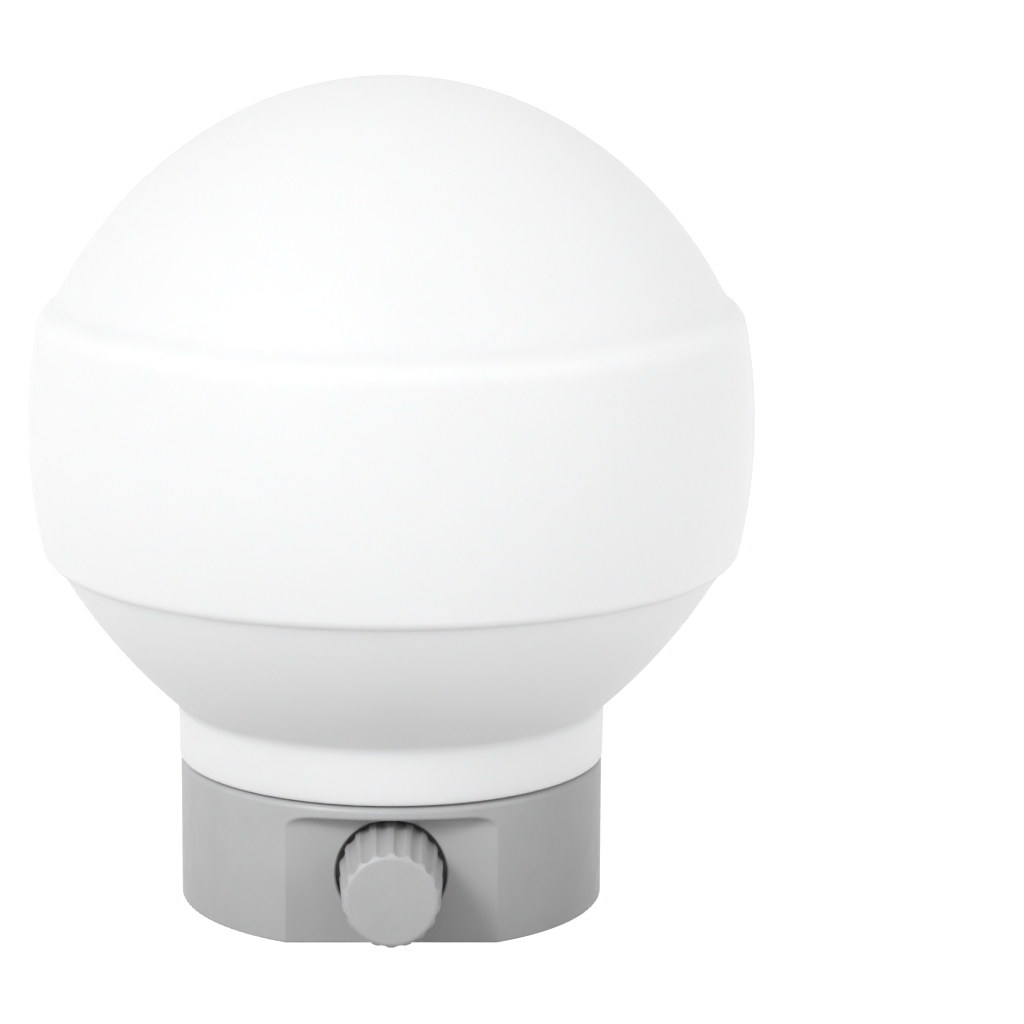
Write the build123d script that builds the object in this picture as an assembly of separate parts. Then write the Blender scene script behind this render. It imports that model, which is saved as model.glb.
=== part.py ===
"""Globe light diffuser: a milky globe on a grey collar that slides over a clamp ring.

The clamp ring grips a round lamp head from outside. The collar drops over it and a knob at
the front screws a thrust pad into the ring's groove. A bayonet ring holds the globe down.
Millimetres, +Z up, origin on the axis at the bottom, the knob faces -Y.
"""
from build123d import *
import math
import os

# ---------------------------------------------------------------- globe
globe_radius = 75.0
globe_wall = 2.2
dome_top_z = 171.6
crown_radius = 70.5
crown_half_angle = 31.3
dome_side_radius = 86.7
band_top_z = 126.1
band_shoulder = (72.45, 123.6)
band_centre_z = 99.3
band_heel = (71.85, 73.6)
bowl_top = (69.45, 72.55)
bowl_belly = (58.2, 56.2)
neck_top = (44.4, 41.95)
neck_bottom = (44.25, 30.3)
spigot_radius = 41.0
spigot_bottom_z = 28.0
globe_mouth_radius = 26.0
globe_floor_z = 30.4

# ---------------------------------------------------------------- collar
collar_radius = 44.0
collar_height = 29.9
collar_wall = 2.4
deck_bottom_z = 24.1
deck_top_z = 27.6
deck_hole_radius = 25.6
bore_radius = 29.0
sleeve_wall = 2.4
flat_y = -38.4
flat_edge_round = 0.8
recess_ceiling_z = 26.5
recess_ceiling_rise = 0.7
recess_corner = 2.6
lip_round = 1.4
edge_round = 0.4
latch_bay_half = 14.5
latch_bay_front_y = 20.0
latch_bay_rear_y = 35.0
latch_bay_top_z = 14.0
rib = 1.5
cover_bottom_z = 0.4
cover_top_z = 2.4
gap = 0.2
post_radius = 3.0
post_web = 1.4
post_hole_radius = 1.4
post_hole_top_z = 14.0
screw_head_radius = 2.7
screw_head_bottom_z = 0.45
screw_head_top_z = 1.7
screw_shank_radius = 1.35
screw_tip_z = 12.4
cross_recess = (3.0, 0.6, 0.65)

# ---------------------------------------------------------------- knob and its screw
knob_z = 14.7
knob_face_y = -58.0
knob_rear_y = -36.4
knob_rear_radius = 10.65
knob_front_radius = 9.8
knob_edge_round = 1.3
flute_count = 18
flute_radius = 1.9
flute_depth = 0.58
ridge_round = 0.3
pocket_radius = 11.3
pocket_floor_y = -33.7
pocket_wall = 1.6
pocket_mouth_break = 0.3
pocket_stay_half = 6.2
knob_relief = (4.8, 7.6, 6.0)
screw_radius = 2.5
screw_hole_radius = 2.75
screw_head_width = 8.0
screw_head_depth = 2.4
screw_head_length = 3.5
screw_end_y = -32.25
screw_travel = 2.4
nut_across = 8.0
nut_front_y = -32.8
nut_rear_y = -30.3
nut_play = 0.1
pad_disc_radius = 2.3
pad_tip_radius = 1.15
pad_tip_y = -29.15

# ---------------------------------------------------------------- bayonet lock ring
ring_radius = 28.7
lock_bottom_z = 18.3
lock_disc = 2.8
lock_groove = 1.9
lock_flange_top_z = 23.95
lock_groove_radius = 26.9
lock_tube_radius = 25.2
lock_bore_radius = 23.7
lock_top_z = 32.6
lug_radius = 28.6
lug_bottom_z = 30.6
lug_width = 39.0
lug_count = 3
notch_width = 44.0
notch_radius = 28.9
unlock_turn = 45.0
slot_width = 23.0
slot_height = 1.7
slot_z = 27.5
slot_offset = 20.0

# ---------------------------------------------------------------- clamp ring
clamp_top_z = 17.95
clamp_flange_z = 16.15
clamp_groove_z = 13.3
clamp_groove_radius = 26.7
seat_radius = 24.6
seat_depth = 13.0
lip_radius = 21.5
gasket_radius = 25.1
gasket_thickness = 1.05
pad_recess = 0.8
pad_bottom_z = 3.0
pad_height = 7.0
pad_width = 42.0
latch_half = 9.8
lever_half = 8.0
lever_play = 0.15
latch_top_z = 10.2
latch_bottom_z = 0.9
pivot_y = 31.0
pivot_z = 6.8
pin_radius = 1.0
pin_clearance = 0.06
barrel_radius = 2.1
nose_half = 5.0
nose_pad = 1.0
nose_tip_y = seat_radius + 0.08
nose_below_pivot = 0.8
nose_above_pivot = 1.0
arm_clearance = 3.4
window_half = 6.2
window_top_z = 9.0


# ---------------------------------------------------------------- helpers
def tube(outer, inner, low, high):
    """An upright tube between two heights."""
    up = (Align.CENTER, Align.CENTER, Align.MIN)
    body = Cylinder(outer, high - low, align=up) - Cylinder(inner, high - low, align=up)
    return Pos(0, 0, low) * body


def disc(radius, low, high):
    """An upright cylinder between two heights."""
    up = (Align.CENTER, Align.CENTER, Align.MIN)
    return Pos(0, 0, low) * Cylinder(radius, high - low, align=up)


def rod(radius, front, rear, height=knob_z):
    """A cylinder along Y, centred on the knob's axis."""
    up = (Align.CENTER, Align.CENTER, Align.MIN)
    return Pos(0, front, height) * Rot(-90, 0, 0) * Cylinder(radius, rear - front, align=up)


def block(x0, x1, y0, y1, z0, z1):
    """A box given by its two corners."""
    low = (Align.MIN, Align.MIN, Align.MIN)
    return Pos(x0, y0, z0) * Box(x1 - x0, y1 - y0, z1 - z0, align=low)


def polygon(*points):
    """A flat face in the radius-height plane."""
    return Plane.XZ * make_face(Polyline(*points, close=True))


def turned(*points):
    """A solid of revolution from radius-height points."""
    return revolve(polygon(*points), Axis.Z)


def arc_block(inner, outer, low, high, centre, width):
    """Part of a tube: centre is its compass angle, width its arc in degrees."""
    corners = [(inner, low), (outer, low), (outer, high), (inner, high)]
    swept = revolve(polygon(*corners), Axis.Z, revolution_arc=width)
    return Rot(0, 0, centre - width / 2) * swept


def nearest(shape, *points):
    """The corners of a flat shape that lie closest to the given points."""
    return [min(shape.vertices(), key=lambda v: math.dist((v.X, v.Y), p)) for p in points]


# ---------------------------------------------------------------- globe
def dome_arcs():
    """The dome from its rim to its top: a flatter side arc, then a tighter crown arc."""
    lean = math.radians(crown_half_angle)
    crown_centre = (0, dome_top_z - crown_radius)
    step = crown_radius - dome_side_radius
    side_centre = (step * math.sin(lean), crown_centre[1] + step * math.cos(lean))
    rise = math.degrees(math.asin((band_top_z - side_centre[1]) / dome_side_radius))
    side = CenterArc(side_centre, dome_side_radius, rise, 90 - crown_half_angle - rise)
    crown = CenterArc(crown_centre, crown_radius, 90 - crown_half_angle, crown_half_angle)
    return side, crown


def globe_face():
    """Half of the globe's outside: neck, bowl, bulging band and dome."""
    side, crown = dome_arcs()
    rim, top = side @ 0, crown @ 1
    path = [
        Line((0, neck_bottom[1]), neck_bottom),
        Line(neck_bottom, neck_top),
        ThreePointArc(neck_top, bowl_belly, bowl_top),
        Line(bowl_top, band_heel),
        ThreePointArc(band_heel, (globe_radius, band_centre_z), band_shoulder),
        Line(band_shoulder, rim),
        side,
        crown,
        Line(top, (0, neck_bottom[1])),
    ]
    face = make_face(path)
    rounds = [
        (band_heel, 2.8),
        (bowl_top, 0.9),
        (band_shoulder, 5.6),
        ((rim.X, rim.Y), 6.4),
        (neck_top, 3.0),
        (neck_bottom, 0.6),
    ]
    for corner, radius in rounds:
        face = fillet(nearest(face, corner), radius)
    return face


def globe():
    half = globe_face()
    whole = half + mirror(half, Plane.YZ)
    room = offset(whole, -globe_wall)
    right_side = Pos(50, 100) * Rectangle(100, 200)
    room = room & right_side
    shell = revolve(Plane.XZ * half, Axis.Z) - revolve(Plane.XZ * room, Axis.Z)
    floor_top_z = neck_bottom[1] + globe_wall
    shell += disc(spigot_radius, spigot_bottom_z, floor_top_z + 0.6)
    neck_inside = neck_bottom[0] - globe_wall
    shell -= turned(
        (0, globe_floor_z),
        (spigot_radius - globe_wall, globe_floor_z),
        (neck_inside, floor_top_z),
        (neck_inside, neck_top[1]),
        (0, neck_top[1]),
    )
    shell -= disc(globe_mouth_radius, spigot_bottom_z - 1, globe_floor_z + 1)
    for lug in range(lug_count):
        shell -= lug_notch(lug, spigot_bottom_z - 1, globe_floor_z + 1)
    return shell


def lug_notch(lug, low, high):
    """The gap that a lug of the lock ring drops through."""
    angle = lug * 360 / lug_count - unlock_turn
    return arc_block(deck_hole_radius - 1, notch_radius, low, high, angle, notch_width)


# ---------------------------------------------------------------- collar
def front_recess():
    """What is cut away in front of the flat: its ceiling rises outwards, with a soft inner corner."""
    corner = (flat_y, recess_ceiling_z)
    front_y = -collar_radius - 1
    slope = recess_ceiling_rise / (collar_radius + flat_y)
    front_z = recess_ceiling_z + slope * (flat_y - front_y)
    outline = make_face(Polyline((flat_y, -1), corner, (front_y, front_z), (front_y, -1), close=True))
    outline = fillet(nearest(outline, corner), recess_corner)
    return extrude(Plane.YZ * outline, collar_radius, both=True)


def screw_posts():
    """Four compass places of the cover's screws."""
    middle = (bore_radius + sleeve_wall + collar_radius - collar_wall) / 2
    for quarter in range(4):
        yield Rot(0, 0, 45 + 90 * quarter) * Pos(middle, 0, 0)


def rounded_shell():
    """The collar's outer form: a drum with a flat cut into its front."""
    shell = disc(collar_radius, 0, collar_height)
    shell = fillet(shell.edges().filter_by(GeomType.CIRCLE).sort_by(Axis.Z)[-1], lip_round)
    shell -= front_recess()
    flat_edges = []
    for edge in shell.edges():
        centre, middle = edge.center(), edge.position_at(0.5)
        on_drum = math.hypot(middle.X, middle.Y) > collar_radius - 0.05
        beside_flat = centre.Y < flat_y + 0.1 and 0.5 < centre.Z < recess_ceiling_z + recess_ceiling_rise
        if on_drum and beside_flat:
            flat_edges.append(edge)
    shell = fillet(flat_edges, flat_edge_round)
    bottom = [edge for edge in shell.edges() if abs(edge.center().Z) < 0.01]
    return fillet(bottom, edge_round)


def housing_hollow():
    """The room between the outer wall and the inner sleeve, less its ribs and posts."""
    inside = collar_radius - collar_wall
    hollow = tube(inside, bore_radius + sleeve_wall, -1, deck_bottom_z)
    hollow &= block(-inside, inside, flat_y + collar_wall, inside, -1, deck_bottom_z)
    hollow -= rod(pocket_radius + pocket_wall, flat_y, nut_front_y)
    hollow -= block(-pocket_stay_half, pocket_stay_half, pocket_floor_y, -bore_radius,
                    cover_top_z + gap, deck_bottom_z)
    for side in (-1, 1):
        middle = side * (latch_bay_half + rib / 2)
        hollow -= block(middle - rib / 2, middle + rib / 2, 0, inside, cover_bottom_z, deck_bottom_z)
    for place in screw_posts():
        web = 2 * post_radius
        hollow -= place * disc(post_radius, cover_top_z, deck_bottom_z)
        hollow -= place * block(-web, web, -post_web / 2, post_web / 2, cover_top_z, deck_bottom_z)
    return hollow


def base_housing():
    shell = rounded_shell() - housing_hollow()
    shell -= disc(collar_radius - collar_wall, deck_top_z, collar_height + 1)
    shell -= disc(bore_radius, -1, deck_bottom_z)
    shell -= disc(deck_hole_radius, deck_bottom_z - 1, deck_top_z + 1)
    for lug in range(lug_count):
        shell -= lug_notch(lug, deck_bottom_z - 1, deck_top_z + 1)
    shell -= block(-latch_bay_half, latch_bay_half, latch_bay_front_y, latch_bay_rear_y,
                   -1, latch_bay_top_z)

    shell -= rod(pocket_radius, flat_y - 5, pocket_floor_y)
    up = (Align.CENTER, Align.CENTER, Align.MIN)
    mouth = Cone(pocket_radius, pocket_radius + 2 * pocket_mouth_break, 2 * pocket_mouth_break, align=up)
    shell -= Pos(0, flat_y + pocket_mouth_break, knob_z) * Rot(90, 0, 0) * mouth
    shell -= rod(screw_hole_radius, flat_y, -bore_radius + 2)
    half_slot = nut_across / 2 + nut_play
    shell -= block(-half_slot, half_slot, nut_front_y - nut_play, nut_rear_y + nut_play,
                   -1, knob_z + half_slot)
    for place in screw_posts():
        shell -= place * disc(post_hole_radius, cover_top_z - 1, post_hole_top_z)
    return shell


def bottom_cover():
    """A thin plate that closes the hollow, with a tongue that holds the nut up."""
    inside = collar_radius - collar_wall - gap
    plate = tube(inside, bore_radius + sleeve_wall + gap, cover_bottom_z, cover_top_z)
    plate &= block(-inside, inside, flat_y + collar_wall + gap, inside, 0, cover_top_z + 1)
    plate -= rod(pocket_radius + pocket_wall + gap, flat_y, nut_front_y + gap)
    bay = latch_bay_half + rib + gap
    plate -= block(-bay, bay, latch_bay_front_y, inside, 0, cover_top_z + 1)
    half_tongue = nut_across / 2 - nut_play
    tongue_top_z = knob_z - nut_across / 2
    plate += block(-half_tongue, half_tongue, nut_front_y, nut_rear_y, cover_bottom_z, tongue_top_z)
    for place in screw_posts():
        plate -= place * disc(screw_shank_radius + gap, 0, cover_top_z + 1)
        plate -= place * disc(screw_head_radius + gap, 0, screw_head_top_z)
    return plate


def cover_screw():
    """A self-tapping pan-head screw with a cross recess, head down."""
    head = disc(screw_head_radius, screw_head_bottom_z, screw_head_top_z)
    head = fillet(head.edges().sort_by(Axis.Z)[0], 0.5)
    long, wide, deep = cross_recess
    top = screw_head_bottom_z + deep
    cross = block(-long / 2, long / 2, -wide / 2, wide / 2, 0, top)
    cross += block(-wide / 2, wide / 2, -long / 2, long / 2, 0, top)
    shank = turned(
        (0, screw_head_top_z),
        (screw_shank_radius, screw_head_top_z),
        (screw_shank_radius, screw_tip_z - 1.8),
        (0.4, screw_tip_z),
        (0, screw_tip_z),
    )
    return head - cross + shank


def cover_screws():
    return Compound(children=[place * cover_screw() for place in screw_posts()])


def neck_washer():
    """The flat seal between the globe's floor and the collar's deck."""
    return tube(spigot_radius - 0.5, notch_radius + 1, deck_top_z, spigot_bottom_z)


# ---------------------------------------------------------------- lock ring
def lock_ring():
    groove_low = lock_bottom_z + lock_disc
    groove_high = groove_low + lock_groove
    body = turned(
        (lock_bore_radius, lock_bottom_z),
        (ring_radius - 0.4, lock_bottom_z),
        (ring_radius, lock_bottom_z + 0.4),
        (ring_radius, groove_low),
        (lock_groove_radius, groove_low),
        (lock_groove_radius, groove_high),
        (ring_radius, groove_high),
        (ring_radius, lock_flange_top_z - 0.25),
        (ring_radius - 0.25, lock_flange_top_z),
        (lock_tube_radius, lock_flange_top_z),
        (lock_tube_radius, lock_top_z - 0.3),
        (lock_tube_radius - 0.3, lock_top_z),
        (lock_bore_radius + 0.3, lock_top_z),
        (lock_bore_radius, lock_top_z - 0.3),
    )
    for lug in range(lug_count):
        middle = lug * 360 / lug_count
        piece = arc_block(lock_tube_radius - 1, lug_radius, lug_bottom_z, lock_top_z, middle, lug_width)
        body += fillet(piece.edges().filter_by(Axis.Z), 0.6)
        for side in (-1, 1):
            body -= ring_slot(middle + side * slot_offset)
    return body


def ring_slot(angle):
    """An obround slot through the tube's wall."""
    end_round = slot_height / 2
    end_angle = math.degrees(end_round / lock_tube_radius)
    low = slot_z - end_round
    cut = arc_block(lock_bore_radius - 1, lock_tube_radius + 0.4, low, low + slot_height,
                    angle, slot_width - 2 * end_angle)
    for side in (-1, 1):
        turn = angle + side * (slot_width / 2 - end_angle)
        up = (Align.CENTER, Align.CENTER, Align.MIN)
        end = Cylinder(end_round, 3, align=up)
        cut += Rot(0, 0, turn) * Pos(lock_bore_radius - 1, 0, slot_z) * Rot(0, 90, 0) * end
    return cut


# ---------------------------------------------------------------- clamp ring
def clamp_ring():
    body = turned(
        (seat_radius + 0.3, 0),
        (ring_radius - 0.4, 0),
        (ring_radius, 0.4),
        (ring_radius, clamp_groove_z),
        (clamp_groove_radius, clamp_groove_z),
        (clamp_groove_radius, clamp_flange_z),
        (ring_radius, clamp_flange_z),
        (ring_radius, clamp_top_z - 0.5),
        (ring_radius - 0.5, clamp_top_z),
        (gasket_radius, clamp_top_z),
        (gasket_radius, clamp_top_z - gasket_thickness),
        (lip_radius, clamp_top_z - gasket_thickness),
        (lip_radius, seat_depth),
        (seat_radius, seat_depth),
        (seat_radius, 0.3),
    )
    body += latch_block()
    lever_room = lever_half + lever_play
    barrel_front_y = pivot_y - barrel_radius - 1.0
    body -= block(-lever_room, lever_room, barrel_front_y, pivot_y + 10, -1, latch_top_z + 1)
    body -= block(-window_half, window_half, lip_radius - 1, ring_radius + 1, -1, window_top_z)
    body -= across_pin(pin_radius, latch_half + 1)
    for angle in grip_pad_angles():
        body -= grip_pad(angle)
    return body


def across_pin(radius, half_length):
    """A cylinder along X on the lever's pivot."""
    return Pos(0, pivot_y, pivot_z) * Rot(0, 90, 0) * Cylinder(radius, 2 * half_length)


def latch_block():
    """The two cheeks and their root, blended into the ring in plan and rounded in section."""
    reach = pivot_y + 2.6
    plan = Circle(ring_radius - 0.2) + Pos(0, reach / 2) * Rectangle(2 * latch_half, reach)
    roots = [v for v in plan.vertices() if abs(abs(v.X) - latch_half) < 0.01 and v.Y < reach - 1]
    plan = fillet(roots, 4.0)
    solid = Pos(0, 0, latch_bottom_z) * extrude(plan, latch_top_z - latch_bottom_z)
    solid &= side_section(20)
    return solid - disc(ring_radius - 1.5, -1, 20)


def side_section(half_width):
    """The latch seen from its end: rounded top, leaning outer face and a pointed toe."""
    outline = make_face(Polyline(
        (20, latch_top_z),
        (pivot_y - 1.2, latch_top_z),
        (pivot_y + 2.2, pivot_z + 1.8),
        (pivot_y + 2.6, latch_bottom_z + 0.7),
        (pivot_y + 1.9, latch_bottom_z),
        (pivot_y - 1.0, latch_bottom_z + 1.2),
        (20, latch_bottom_z + 0.6),
        close=True,
    ))
    outline = fillet(nearest(outline, (pivot_y + 2.2, pivot_z + 1.8)), 1.6)
    outline = fillet(nearest(outline, (pivot_y - 1.2, latch_top_z)), 2.0)
    return extrude(Plane.YZ * outline, half_width, both=True)


def grip_pad_angles():
    return [-90 + 120 * turn for turn in (-1, 0, 1)]


def grip_pad(angle):
    top = pad_bottom_z + pad_height
    return arc_block(seat_radius, seat_radius + pad_recess, pad_bottom_z, top, angle, pad_width)


def grip_pads():
    return Compound(children=[grip_pad(angle) for angle in grip_pad_angles()])


def ring_gasket():
    top = clamp_top_z - 0.05
    return tube(gasket_radius - 0.1, lip_radius, clamp_top_z - gasket_thickness, top)


def nose_block(front_y, rear_y):
    """The bar from the lever's barrel through the ring's window."""
    low = pivot_z - nose_below_pivot
    return block(-nose_half, nose_half, front_y, rear_y, low, pivot_z + nose_above_pivot)


def clamp_lever():
    """The rocker: a barrel on the pin, a nose through the ring's wall and a finger arm below."""
    barrel = across_pin(barrel_radius, lever_half)
    arm = side_section(lever_half) & block(-20, 20, pivot_y - 0.2, pivot_y + 10, 0, pivot_z + 10)
    arm -= block(-20, 20, pivot_y - 10, pivot_y + 0.6, 0, pivot_z - arm_clearance)
    body = barrel + arm + nose_block(nose_tip_y + nose_pad, pivot_y)
    return body - across_pin(pin_radius + pin_clearance, lever_half + 1)


def lever_pad():
    """The soft tip that presses on the lamp's head."""
    pad = nose_block(nose_tip_y, nose_tip_y + nose_pad)
    return fillet(pad.edges().filter_by(Axis.Z).sort_by(Axis.Y)[:2], 0.4)


def lever_pin():
    pin = across_pin(pin_radius, latch_half)
    return chamfer(pin.edges().filter_by(GeomType.CIRCLE), 0.2)


# ---------------------------------------------------------------- knob, screw, nut and pad
def knob_outline(radius):
    """The knob's fluted outline with rounded ridges."""
    outline = Circle(radius)
    centre = radius - flute_depth + flute_radius
    for turn in range(flute_count):
        outline -= Rot(0, 0, turn * 360 / flute_count) * Pos(centre, 0) * Circle(flute_radius)
    return fillet(outline.vertices(), ridge_round)


def knob_envelope(length):
    """The turned form that rounds the knob's front edge."""
    face_radius = knob_front_radius - knob_edge_round
    edge = CenterArc((face_radius, knob_edge_round), knob_edge_round, -90, 90)
    wide = knob_rear_radius + 2
    beyond = length + 1
    path = [
        Line((0, 0), (face_radius, 0)),
        edge,
        Line(edge @ 1, (wide, beyond)),
        Line((wide, beyond), (0, beyond)),
        Line((0, beyond), (0, 0)),
    ]
    return revolve(Plane.XZ * make_face(path), Axis.Z)


def knob():
    """A fluted hand knob that widens to the rear, hollowed from behind."""
    length = knob_rear_y - knob_face_y
    front = knob_outline(knob_front_radius)
    rear = Pos(0, 0, length) * knob_outline(knob_rear_radius)
    body = loft([front, rear], ruled=True) & knob_envelope(length)
    inner, outer, start = knob_relief
    body -= tube(outer, inner, start, length + 1)
    body = Pos(0, knob_face_y, knob_z) * Rot(-90, 0, 0) * body
    return body - spindle()


def spindle():
    """The M5 screw that is moulded into the knob: hexagon head and shank."""
    head_front_y = knob_face_y + screw_head_depth
    corner_radius = screw_head_width / math.sqrt(3)
    hexagon = extrude(RegularPolygon(corner_radius, 6), screw_head_length)
    hexagon = Pos(0, head_front_y, knob_z) * Rot(-90, 0, 0) * hexagon
    shank = rod(screw_radius, head_front_y + screw_head_length, screw_end_y)
    shank = chamfer(shank.edges().filter_by(GeomType.CIRCLE).sort_by(Axis.Y)[-1], 0.5)
    return hexagon + shank


def lock_nut():
    half = nut_across / 2
    nut = block(-half, half, nut_front_y, nut_rear_y, knob_z - half, knob_z + half)
    nut = chamfer(nut.edges().filter_by(Axis.Y), 0.5)
    return nut - rod(screw_radius + 0.06, nut_front_y - 1, nut_rear_y + 1)


def thrust_pad():
    """The pad that the screw pushes: a disc and a thin tip that enters the ring's groove."""
    shoulder = pad_tip_y - screw_travel + 0.1
    body = rod(pad_disc_radius, screw_end_y + 0.05, shoulder) + rod(pad_tip_radius, shoulder, pad_tip_y)
    return chamfer(body.edges().filter_by(GeomType.CIRCLE).sort_by(Axis.Y)[-1], 0.2)


PARTS = [
    globe, base_housing, bottom_cover, cover_screws, neck_washer, lock_ring, clamp_ring, ring_gasket,
    grip_pads, clamp_lever, lever_pad, lever_pin, knob, spindle, lock_nut, thrust_pad,
]

os.makedirs("parts", exist_ok=True)
for make in PARTS:
    export_step(make(), os.path.join("parts", make.__name__ + ".step"))
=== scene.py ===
"""Looks for the globe light diffuser: a studio, a camera, a milky globe and moulded plastics.

Metres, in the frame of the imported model: +Z up, the knob faces -Y.
"""
import math

import bmesh
import bpy
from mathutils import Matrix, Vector


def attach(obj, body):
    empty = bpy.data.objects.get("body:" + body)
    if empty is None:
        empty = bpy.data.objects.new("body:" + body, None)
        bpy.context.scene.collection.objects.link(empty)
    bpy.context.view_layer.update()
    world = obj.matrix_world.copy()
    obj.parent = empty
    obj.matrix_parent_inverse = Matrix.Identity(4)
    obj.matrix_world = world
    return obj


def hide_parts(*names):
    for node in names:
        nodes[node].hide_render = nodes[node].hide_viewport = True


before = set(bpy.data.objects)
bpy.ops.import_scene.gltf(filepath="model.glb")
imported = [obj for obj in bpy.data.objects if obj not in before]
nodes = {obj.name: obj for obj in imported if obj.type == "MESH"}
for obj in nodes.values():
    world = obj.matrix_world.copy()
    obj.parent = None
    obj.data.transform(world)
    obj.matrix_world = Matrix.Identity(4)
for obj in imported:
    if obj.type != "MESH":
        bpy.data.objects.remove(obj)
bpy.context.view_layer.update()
scene = bpy.context.scene

MM = 0.001


# ---------------------------------------------------------------- node helpers
def new_material(name):
    material = bpy.data.materials.new(name)
    material.use_nodes = True
    tree = material.node_tree
    return material, tree, tree.nodes["Principled BSDF"]


def node(tree, kind, **inputs):
    """A shader node with some of its inputs set; underscores stand for spaces."""
    made = tree.nodes.new(kind)
    for key, value in inputs.items():
        made.inputs[key.replace("_", " ")].default_value = value
    return made


def noise(tree, scale, detail=2.0, stretch=None):
    """Noise that is fixed to the object, from 0 to 1."""
    place = node(tree, "ShaderNodeTexCoord")
    texture = node(tree, "ShaderNodeTexNoise", Scale=scale, Detail=detail)
    source = place.outputs["Object"]
    if stretch:
        mapping = node(tree, "ShaderNodeMapping", Scale=stretch)
        tree.links.new(source, mapping.inputs["Vector"])
        source = mapping.outputs["Vector"]
    tree.links.new(source, texture.inputs["Vector"])
    return texture.outputs["Fac"]


def remap(tree, value, low, high, start=0.3, end=0.7):
    """Stretches start..end of a value to low..high."""
    made = node(tree, "ShaderNodeMapRange")
    for index, number in enumerate((start, end, low, high), start=1):
        made.inputs[index].default_value = number
    tree.links.new(value, made.inputs[0])
    return made.outputs[0]


def mix_colours(tree, factor, first, second):
    made = tree.nodes.new("ShaderNodeMix")
    made.data_type = "RGBA"
    for socket, colour in ((made.inputs[6], first), (made.inputs[7], second)):
        if isinstance(colour, tuple):
            socket.default_value = (*colour, 1.0)
        else:
            tree.links.new(colour, socket)
    tree.links.new(factor, made.inputs[0])
    return made.outputs[2]


def bump(tree, shader, heights):
    """Chains bumps: each entry is a height output, a distance in metres and a strength."""
    normal = None
    for height, distance, strength in heights:
        made = node(tree, "ShaderNodeBump", Strength=strength, Distance=distance)
        tree.links.new(height, made.inputs["Height"])
        if normal:
            tree.links.new(normal, made.inputs["Normal"])
        normal = made.outputs["Normal"]
    tree.links.new(normal, shader.inputs["Normal"])


def edge_mask(tree, width):
    """Near 1 along sharp outer edges within the given width, 0 on open faces."""
    rounded = tree.nodes.new("ShaderNodeBevel")
    rounded.samples = 4
    rounded.inputs["Radius"].default_value = width
    shape = tree.nodes.new("ShaderNodeNewGeometry")
    dot = tree.nodes.new("ShaderNodeVectorMath")
    dot.operation = "DOT_PRODUCT"
    tree.links.new(rounded.outputs["Normal"], dot.inputs[0])
    tree.links.new(shape.outputs["Normal"], dot.inputs[1])
    return remap(tree, dot.outputs["Value"], 1.0, 0.0, 0.80, 0.995)


# ---------------------------------------------------------------- materials
def globe_milk():
    """Opal plastic: light scatters inside it, with a satin skin and faint mould texture."""
    material, tree, shader = new_material("globe_milk")
    cloud = noise(tree, 18.0, 3.0)
    colour = mix_colours(tree, remap(tree, cloud, 0.0, 1.0), (0.875, 0.875, 0.873), (0.887, 0.887, 0.885))
    tree.links.new(colour, shader.inputs["Base Color"])
    satin = noise(tree, 90.0, 4.0)
    tree.links.new(remap(tree, satin, 0.40, 0.48), shader.inputs["Roughness"])
    shader.inputs["Subsurface Weight"].default_value = 0.85
    shader.inputs["Subsurface Radius"].default_value = (1.0, 0.97, 0.92)
    shader.inputs["Subsurface Scale"].default_value = 0.004
    shader.inputs["Specular IOR Level"].default_value = 0.35
    fine = noise(tree, 2600.0, 2.0)
    soft = noise(tree, 60.0, 1.0)
    bump(tree, shader, [(soft, 0.00012, 0.25), (fine, 0.00003, 0.35)])
    return material


def moulded_grey(name, dark, light, roughness):
    """Spark-eroded ABS: fine grain, slight mottling, and sharp edges painted lighter, partly wear from
    handling and partly a painted highlight.
    """
    material, tree, shader = new_material(name)
    mottle = noise(tree, 140.0, 5.0)
    speck = noise(tree, 3200.0, 1.0)
    body = mix_colours(tree, remap(tree, mottle, 0.0, 1.0), dark, light)
    fleck = tuple(min(1.0, channel * 1.05) for channel in light)
    body = mix_colours(tree, remap(tree, speck, 0.0, 0.6, 0.55, 0.75), body, fleck)
    # Sharp edges are painted lighter: partly wear from handling, partly a painted highlight along them.
    edge = edge_mask(tree, 0.00045)
    worn_and_highlit = tuple(min(1.0, channel * 1.16) for channel in light)
    body = mix_colours(tree, remap(tree, edge, 0.0, 0.55, 0.0, 1.0), body, worn_and_highlit)
    tree.links.new(body, shader.inputs["Base Color"])
    satin = noise(tree, 260.0, 4.0)
    tree.links.new(remap(tree, satin, roughness - 0.04, roughness + 0.05), shader.inputs["Roughness"])
    shader.inputs["Specular IOR Level"].default_value = 0.4
    grain = noise(tree, 4200.0, 2.0)
    swirl = noise(tree, 320.0, 2.0)
    bump(tree, shader, [(swirl, 0.00003, 0.25), (grain, 0.00003, 0.4)])
    return material


def rubber(name):
    material, tree, shader = new_material(name)
    dust = noise(tree, 900.0, 4.0)
    colour = mix_colours(tree, remap(tree, dust, 0.0, 1.0), (0.016, 0.016, 0.017), (0.030, 0.030, 0.031))
    tree.links.new(colour, shader.inputs["Base Color"])
    tree.links.new(remap(tree, dust, 0.62, 0.80), shader.inputs["Roughness"])
    shader.inputs["Specular IOR Level"].default_value = 0.35
    bump(tree, shader, [(noise(tree, 2400.0, 3.0), 0.00005, 0.5)])
    return material


def metal(name, dark, light, low, high, stretch):
    """Plated or turned metal, with fine marks drawn out along one way."""
    material, tree, shader = new_material(name)
    marks = noise(tree, 500.0, 6.0, stretch)
    tree.links.new(mix_colours(tree, remap(tree, marks, 0.0, 1.0), dark, light), shader.inputs["Base Color"])
    tree.links.new(remap(tree, marks, low, high), shader.inputs["Roughness"])
    shader.inputs["Metallic"].default_value = 1.0
    bump(tree, shader, [(marks, 0.00002, 0.3)])
    return material


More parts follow.
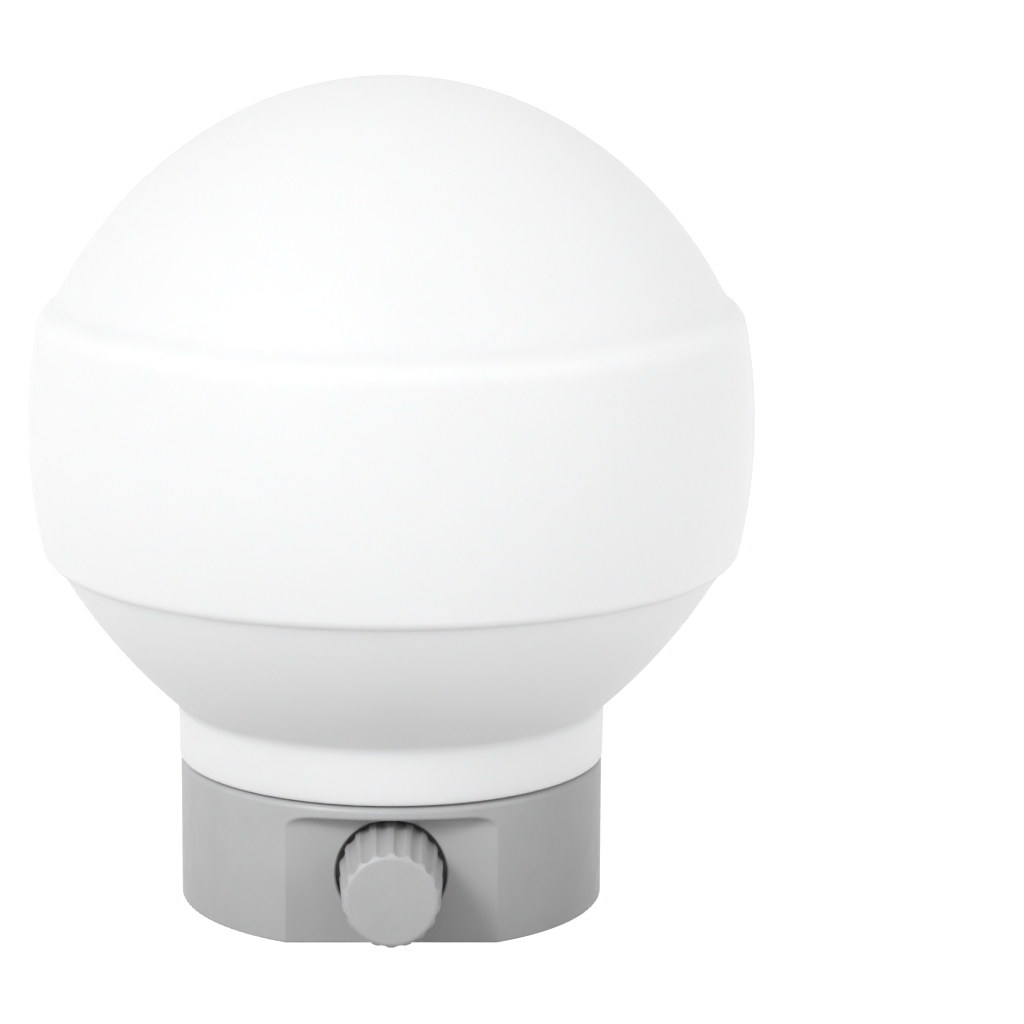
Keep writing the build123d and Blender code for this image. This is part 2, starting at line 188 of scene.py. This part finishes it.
def nylon():
    material, tree, shader = new_material("natural_nylon")
    cloud = noise(tree, 400.0, 3.0)
    colour = mix_colours(tree, remap(tree, cloud, 0.0, 1.0), (0.70, 0.68, 0.62), (0.76, 0.75, 0.70))
    tree.links.new(colour, shader.inputs["Base Color"])
    tree.links.new(remap(tree, cloud, 0.42, 0.52), shader.inputs["Roughness"])
    shader.inputs["Subsurface Weight"].default_value = 0.3
    shader.inputs["Subsurface Scale"].default_value = 0.001
    bump(tree, shader, [(noise(tree, 3000.0, 2.0), 0.00003, 0.3)])
    return material


def paint(material, *names):
    for name in names:
        mesh = nodes[name].data
        mesh.materials.clear()
        mesh.materials.append(material)


# ---------------------------------------------------------------- globe
globe_radius = 74.95
globe_wall = 2.2
dome_top_z = 171.6
crown_radius = 70.5
crown_half_angle = math.radians(31.3)
dome_side_radius = 86.7
band_top_z = 126.1
band_shoulder = (72.45, 123.6)
band_centre_z = 99.3
band_heel = (71.85, 73.6)
bowl_top = (69.45, 72.55)
bowl_belly = (58.2, 56.2)
neck_top = (44.4, 41.95)
neck_bottom = (44.25, 30.3)
spigot_radius = 41.0
spigot_bottom_z = 28.0
mouth_radius = 26.0
notch_radius = 28.9
notch_width = math.radians(44.0)
notch_turn = math.radians(-45.0)
notch_count = 3
floor_z = 30.4
turn_segments = 200
arc_step = 0.9


def arc_points(centre, radius, start, end):
    """Points along an arc between two angles, about arc_step apart."""
    count = max(2, math.ceil(abs(end - start) * radius / arc_step))
    angles = [start + (end - start) * step / count for step in range(count + 1)]
    return [(centre[0] + radius * math.cos(a), centre[1] + radius * math.sin(a)) for a in angles]


def circle_through(a, b, c):
    """Centre and radius of the circle through three points."""
    d = 2 * (a[0] * (b[1] - c[1]) + b[0] * (c[1] - a[1]) + c[0] * (a[1] - b[1]))
    squares = [p[0] ** 2 + p[1] ** 2 for p in (a, b, c)]
    x = (squares[0] * (b[1] - c[1]) + squares[1] * (c[1] - a[1]) + squares[2] * (a[1] - b[1])) / d
    y = (squares[0] * (c[0] - b[0]) + squares[1] * (a[0] - c[0]) + squares[2] * (b[0] - a[0])) / d
    return (x, y), math.dist((x, y), a)


def arc_through(a, b, c):
    """Points along the arc from a over b to c; all its arcs here turn less than half a circle."""
    centre, radius = circle_through(a, b, c)
    start = math.atan2(a[1] - centre[1], a[0] - centre[0])
    end = math.atan2(c[1] - centre[1], c[0] - centre[0])
    return arc_points(centre, radius, start, end)


def cut_back(points, length):
    """Drops the given length from the start of a run of points."""
    for index in range(1, len(points)):
        step = math.dist(points[index - 1], points[index])
        if step > length:
            share = length / step
            first = tuple(p + (q - p) * share for p, q in zip(points[index - 1], points[index]))
            return [first] + points[index:]
        length -= step
    return points[-1:]


def round_corner(before, after, radius):
    """Joins two runs that meet in a corner by an arc of about the given radius."""
    corner = after[0]
    into = Vector(corner) - Vector(before[-2])
    out = Vector(after[1]) - Vector(corner)
    turn = into.angle(out)
    cut = radius * math.tan(turn / 2)
    head = cut_back(before[::-1], cut)[::-1]
    tail = cut_back(after, cut)
    count = max(4, math.ceil(turn * radius / (arc_step / 3)))
    start, end, middle = Vector(head[-1]), Vector(tail[0]), Vector(corner)
    weight = math.cos(turn / 2)
    blend = []
    for step in range(1, count):
        t = step / count
        parts = ((1 - t) ** 2, 2 * weight * t * (1 - t), t * t)
        point = (start * parts[0] + middle * parts[1] + end * parts[2]) / sum(parts)
        blend.append(tuple(point))
    return head + blend + tail


def outer_outline():
    """The globe's outside from the bottom of its neck to the top of its dome, in millimetres."""
    crown_centre = (0.0, dome_top_z - crown_radius)
    step = crown_radius - dome_side_radius
    side_centre = (step * math.sin(crown_half_angle), crown_centre[1] + step * math.cos(crown_half_angle))
    rise = math.asin((band_top_z - side_centre[1]) / dome_side_radius)
    join = math.pi / 2 - crown_half_angle
    side = arc_points(side_centre, dome_side_radius, rise, join)
    crown = arc_points(crown_centre, crown_radius, join, math.pi / 2)
    runs = [
        [(spigot_radius, neck_bottom[1]), neck_bottom],
        [neck_bottom, neck_top],
        arc_through(neck_top, bowl_belly, bowl_top),
        [bowl_top, band_heel],
        arc_through(band_heel, (globe_radius, band_centre_z), band_shoulder),
        [band_shoulder, side[0]],
        side,
    ]
    corner_radii = [0.6, 3.0, 0.9, 2.8, 5.6, 6.4]
    outline = runs[0]
    for run, radius in zip(runs[1:], corner_radii):
        outline = round_corner(outline, run, radius)
    return outline + crown[1:-1]


def spread(points, longest):
    """Splits runs that are longer than the given length."""
    dense = [points[0]]
    for a, b in zip(points, points[1:]):
        count = max(1, math.ceil(math.dist(a, b) / longest))
        for step in range(1, count + 1):
            share = step / count
            dense.append(tuple(p + (q - p) * share for p, q in zip(a, b)))
    return dense


def inner_outline(outer):
    """The outside set in by the wall, from the top of the dome down to the neck."""
    inner = []
    for before, here, after in zip(outer, outer[1:], outer[2:]):
        along = (Vector(after) - Vector(before)).normalized()
        point = Vector(here) - globe_wall * Vector((along.y, -along.x))
        if point.y > neck_top[1] + 1.0 and point.x > 0.5:
            inner.append(tuple(point))
    return inner[::-1]


def turn_angles():
    """Even angles all round, with both sides of each notch edge: (angle, mouth radius)."""
    columns = []
    for index in range(turn_segments):
        angle = 2 * math.pi * index / turn_segments
        offset = (angle - notch_turn + math.pi / notch_count) % (2 * math.pi / notch_count)
        inside = abs(offset - math.pi / notch_count) < notch_width / 2
        columns.append((angle, notch_radius if inside else mouth_radius))
    for notch in range(notch_count):
        middle = notch_turn + notch * 2 * math.pi / notch_count
        for side in (-1, 1):
            angle = (middle + side * notch_width / 2) % (2 * math.pi)
            order = (mouth_radius, notch_radius) if side < 0 else (notch_radius, mouth_radius)
            shift = 1e-6
            columns.append((angle - shift, order[0]))
            columns.append((angle + shift, order[1]))
    return sorted(columns)


def globe_mesh():
    outer = outer_outline()
    inner = inner_outline(outer)
    inside_neck = neck_bottom[0] - globe_wall
    wall = [(spigot_radius, spigot_bottom_z)] + outer
    room = inner + [(inside_neck, neck_top[1] - 1.0), (inside_neck, neck_bottom[1] + globe_wall)]
    room.append((spigot_radius - globe_wall, floor_z))
    wall, room = spread(wall, 2.5), spread(room, 2.5)
    shape = bmesh.new()
    top = shape.verts.new((0, 0, dome_top_z * MM))
    ceiling = shape.verts.new((0, 0, (dome_top_z - globe_wall) * MM))
    outside, inside = [], []
    for angle, mouth in turn_angles():
        across, along = math.cos(angle), math.sin(angle)

        def column(points):
            return [shape.verts.new((r * across * MM, r * along * MM, z * MM)) for r, z in points]

        outside.append(column([(mouth, spigot_bottom_z)] + wall))
        inside.append(column(room + [(mouth, floor_z)]))
    count = len(outside)
    for index in range(count):
        after = (index + 1) % count
        sheets = (
            (outside[index], outside[after], top),
            (inside[index][::-1], inside[after][::-1], ceiling),
        )
        for near, far, pole in sheets:
            flip = near is not outside[index]
            for a, b, c, d in zip(near, far, far[1:], near[1:]):
                shape.faces.new((a, d, c, b) if flip else (a, b, c, d))
            last = (near[-1], pole, far[-1]) if flip else (near[-1], far[-1], pole)
            shape.faces.new(last)
        shape.faces.new((inside[index][-1], inside[after][-1], outside[after][0], outside[index][0]))
    bmesh.ops.remove_doubles(shape, verts=shape.verts, dist=2e-7)
    bmesh.ops.dissolve_degenerate(shape, edges=shape.edges, dist=1e-8)
    bmesh.ops.recalc_face_normals(shape, faces=shape.faces)
    mesh = bpy.data.meshes.new("globe_shell")
    shape.to_mesh(mesh)
    shape.free()
    mesh.polygons.foreach_set("use_smooth", [True] * len(mesh.polygons))
    mesh.set_sharp_from_angle(angle=math.radians(38))
    return mesh


def make_globe():
    mesh = globe_mesh()
    mesh.materials.append(globe_milk())
    globe = bpy.data.objects.new("globe_shell", mesh)
    scene.collection.objects.link(globe)
    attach(globe, "collar")
    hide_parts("globe")


# ---------------------------------------------------------------- camera, floor and light
def make_camera():
    """The camera looks down on the object from the front, with the object left of the middle."""
    distance = 0.9096
    height = 0.2770
    pitch = math.radians(12.01)
    data = bpy.data.cameras.new("camera")
    data.sensor_width = 36.0
    data.lens = 157.7
    data.shift_x = 0.1179
    data.shift_y = -0.0108
    data.clip_end = 20.0
    camera = bpy.data.objects.new("camera", data)
    camera.location = (0.0, -distance, height)
    camera.rotation_euler = (math.pi / 2 - pitch, 0.0, 0.0)
    scene.collection.objects.link(camera)
    scene.camera = camera


# Strength of the sky straight down, at the horizon and straight up.
sky_below = 0.97
sky_level = 1.0
sky_top = 0.74
floor_half = 4.0
floor_glow = 0.95
shade_inner = 0.039
shade_outer = 0.100
shade_depth = 0.0004
shade_steps = 48


def area_light(name, place, target, width, height, power):
    data = bpy.data.lights.new(name, "AREA")
    data.shape = "RECTANGLE"
    data.size = width
    data.size_y = height
    data.energy = power
    lamp = bpy.data.objects.new(name, data)
    lamp.location = place
    lamp.rotation_euler = (Vector(target) - Vector(place)).to_track_quat("-Z", "Y").to_euler()
    scene.collection.objects.link(lamp)
    return lamp


def make_floor():
    """White paper that glows, so that it stays white; scattered light passes through it."""
    half = floor_half
    mesh = bpy.data.meshes.new("floor")
    corners = [(-half, -half, 0), (half, -half, 0), (half, half, 0), (-half, half, 0)]
    mesh.from_pydata(corners, [], [(0, 1, 2, 3)])
    floor = bpy.data.objects.new("floor", mesh)
    scene.collection.objects.link(floor)
    material, tree, shader = new_material("floor_paper")
    shader.inputs["Base Color"].default_value = (0.25, 0.25, 0.25, 1)
    shader.inputs["Roughness"].default_value = 1.0
    shader.inputs["Specular IOR Level"].default_value = 0.0
    shader.inputs["Emission Color"].default_value = (1, 1, 1, 1)
    shader.inputs["Emission Strength"].default_value = floor_glow
    side = tree.nodes.new("ShaderNodeNewGeometry")
    clear = tree.nodes.new("ShaderNodeBsdfTransparent")
    choose = tree.nodes.new("ShaderNodeMixShader")
    tree.links.new(side.outputs["Backfacing"], choose.inputs[0])
    tree.links.new(shader.outputs[0], choose.inputs[1])
    tree.links.new(clear.outputs[0], choose.inputs[2])
    tree.links.new(choose.outputs[0], tree.nodes["Material Output"].inputs["Surface"])
    mesh.materials.append(material)
    floor.visible_diffuse = False
    make_shade(material)


def make_shade(paper):
    """A dark ring round the foot that stands in for the paper in the object's shade; only scattered light
    meets it, so it dims the foot.
    """
    count = shade_steps
    corners = []
    for radius in (shade_inner, shade_outer):
        for step in range(count):
            angle = 2 * math.pi * step / count
            corners.append((radius * math.cos(angle), radius * math.sin(angle), 0))
    faces = [(i, i + count, (i + 1) % count + count, (i + 1) % count) for i in range(count)]
    mesh = bpy.data.meshes.new("foot_shade")
    mesh.from_pydata(corners, [], faces)
    shade = bpy.data.objects.new("foot_shade", mesh)
    shade.location.z = -shade_depth
    scene.collection.objects.link(shade)
    material = paper.copy()
    material.name = "shade_paper"
    shader = material.node_tree.nodes["Principled BSDF"]
    # This dark colour is shade on the paper under the object, not the paper's own colour.
    shader.inputs["Base Color"].default_value = (0.28, 0.28, 0.28, 1)
    shader.inputs["Emission Strength"].default_value = 0.0
    mesh.materials.append(material)
    shade.visible_camera = False
    shade.visible_glossy = False
    shade.visible_shadow = False


def make_sky():
    """A white tent: brightest at the horizon, dimmer overhead and a little dimmer from below."""
    world = bpy.data.worlds.new("studio")
    world.use_nodes = True
    tree = world.node_tree
    background = tree.nodes["Background"]
    background.inputs["Color"].default_value = (1.0, 1.0, 1.0, 1)
    way = tree.nodes.new("ShaderNodeTexCoord")
    parts = tree.nodes.new("ShaderNodeSeparateXYZ")
    tree.links.new(way.outputs["Generated"], parts.inputs[0])
    below = remap(tree, parts.outputs["Z"], sky_below, sky_level, -0.55, 0.15)
    above = remap(tree, parts.outputs["Z"], 0.0, sky_top - sky_level, 0.15, 0.8)
    total = tree.nodes.new("ShaderNodeMath")
    tree.links.new(below, total.inputs[0])
    tree.links.new(above, total.inputs[1])
    tree.links.new(total.outputs[0], background.inputs["Strength"])
    scene.world = world


def make_light():
    make_sky()
    area_light("key", (-0.85, -1.00, 0.95), (0, 0, 0.06), 0.8, 0.8, 8.0)
    area_light("fill", (1.3, -1.1, 0.9), (0, 0, 0.10), 0.9, 0.9, 4.6)
    # This lamp lights only the collar and the knob.
    foot_key = area_light("foot_key", (-0.56, -0.78, 0.68), (0, -0.04, 0.015), 0.28, 0.28, 5.4)
    lit = bpy.data.collections.new("lit_by_foot_key")
    for name in ("base_housing", "knob"):
        lit.objects.link(nodes[name])
    foot_key.light_linking.receiver_collection = lit
    scene.view_settings.view_transform = "Standard"
    scene.view_settings.look = "None"


def make_materials():
    collar = moulded_grey("collar_grey", (0.338, 0.339, 0.343), (0.358, 0.359, 0.363), 0.42)
    rings = moulded_grey("ring_grey", (0.440, 0.441, 0.445), (0.460, 0.461, 0.465), 0.42)
    black = rubber("black_rubber")
    steel = metal("zinc_steel", (0.52, 0.53, 0.55), (0.66, 0.67, 0.68), 0.26, 0.40, (1.0, 1.0, 6.0))
    brass = metal("turned_brass", (0.66, 0.48, 0.20), (0.78, 0.60, 0.29), 0.28, 0.42, (6.0, 1.0, 1.0))
    paint(collar, "base_housing", "bottom_cover", "knob")
    paint(rings, "lock_ring", "clamp_ring", "clamp_lever")
    paint(black, "neck_washer", "ring_gasket", "grip_pads", "lever_pad")
    paint(steel, "cover_screws", "lever_pin", "spindle")
    paint(brass, "lock_nut")
    paint(nylon(), "thrust_pad")


make_camera()
make_floor()
make_light()
make_materials()
make_globe()
